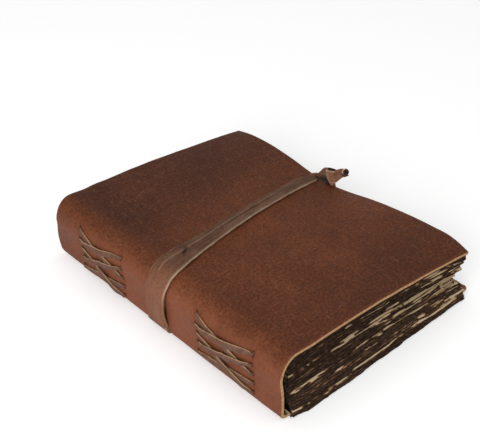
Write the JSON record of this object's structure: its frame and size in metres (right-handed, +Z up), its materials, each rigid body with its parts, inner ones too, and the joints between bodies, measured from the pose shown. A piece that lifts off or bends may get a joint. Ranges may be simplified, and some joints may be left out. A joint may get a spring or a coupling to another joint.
{
  "type": "journal",
  "caption": "Closed hand-laced journal: soft leather wrap cover, rough-edged pages in sewn gatherings, and a strap tied in a knot at the fore edge.",
  "frame": {"origin": "middle of the closed journal's underside, on the table", "axes": "+Z up from the table, +Y along the spine towards the far end, +X from the spine to the fore edge"},
  "size_m": [0.1721, 0.2076, 0.044],
  "materials": {
    "cover_leather": "oiled brown hide with a soft sheen",
    "pages": "aged handmade paper, browned torn edges",
    "lacing_leather": "dull grey-brown thong",
    "strap_leather": "worn grey-brown strap with pale raw edges"
  },
  "bodies": {
    "book": {"page_block": "pages", "spine": "cover_leather", "lacing_far": "lacing_leather", "lacing_near": "lacing_leather", "strap_spine": "strap_leather"},
    "front_cover": {"front_cover": "cover_leather", "strap_front": "strap_leather"},
    "back_cover": {"back_cover": "cover_leather", "strap_under": "strap_leather"}
  },
  "joints": [
    {"name": "front_cover_fold", "type": "hinge", "parent": "book", "child": "front_cover", "pos_m": [-0.065, 0, 0.0438], "axis": [0, -1, 0], "range_deg": [0, 180]},
    {"name": "back_cover_fold", "type": "hinge", "parent": "book", "child": "back_cover", "pos_m": [-0.071, 0, -0.0002], "axis": [0, 1, 0], "range_deg": [0, 180]}
  ]
}
